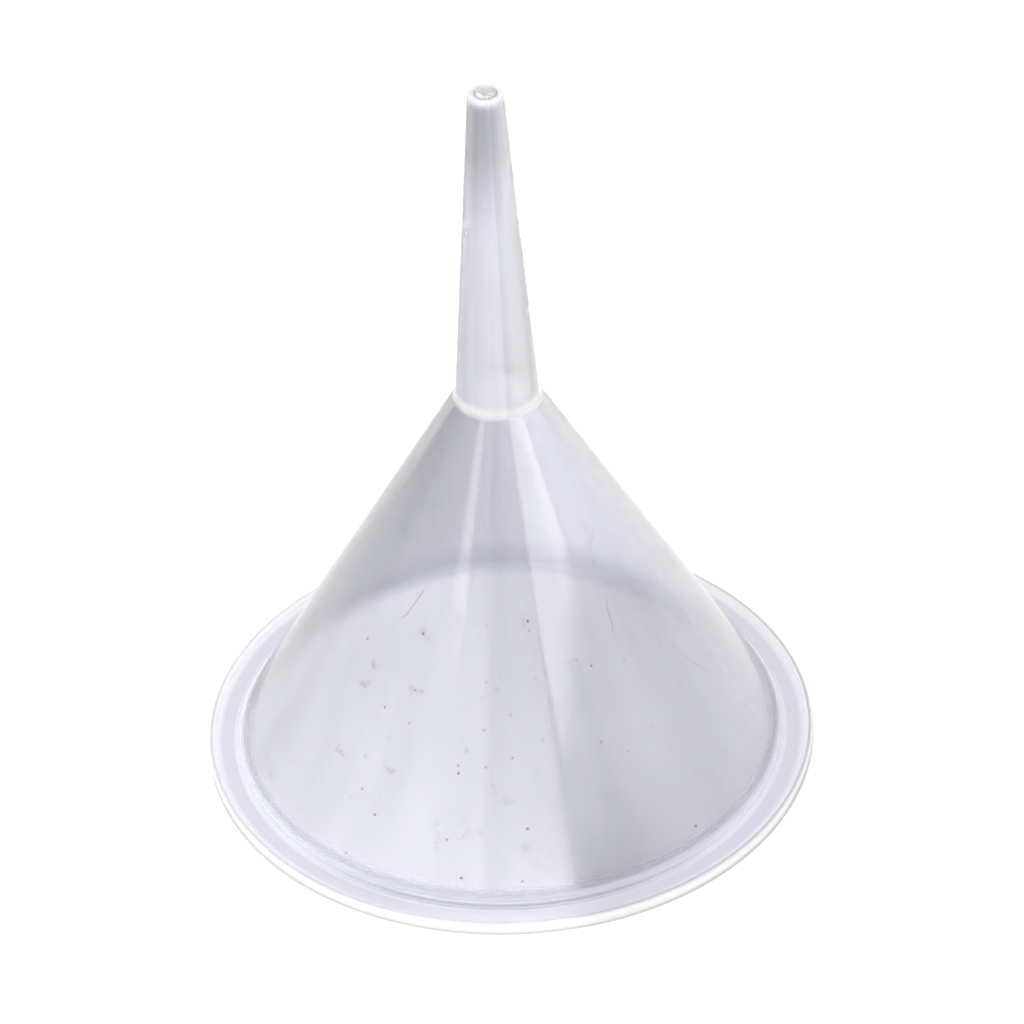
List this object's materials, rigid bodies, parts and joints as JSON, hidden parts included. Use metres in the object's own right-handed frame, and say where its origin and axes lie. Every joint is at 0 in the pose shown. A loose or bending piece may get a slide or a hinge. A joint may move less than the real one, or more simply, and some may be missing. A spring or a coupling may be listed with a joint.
{
  "type": "funnel",
  "caption": "Translucent plastic filling funnel: a cone with a long tapered stem, a low collar, a flat rim flange and a raised lip; it stands on its rim.",
  "frame": {"origin": "centre of the mouth, on the plane of the rim's resting face", "axes": "+Z along the funnel's axis, from the mouth to the stem's tip; X and Y are any two directions across it"},
  "size_m": [0.1, 0.1, 0.124],
  "materials": {
    "translucent_plastic": "translucent natural polypropylene, smooth moulded, lightly scuffed"
  },
  "bodies": {
    "root": {"stem": "translucent_plastic", "neck": "translucent_plastic", "cone": "translucent_plastic", "mouth_collar": "translucent_plastic", "rim_flange": "translucent_plastic", "rim_lip": "translucent_plastic"}
  },
  "joints": []
}
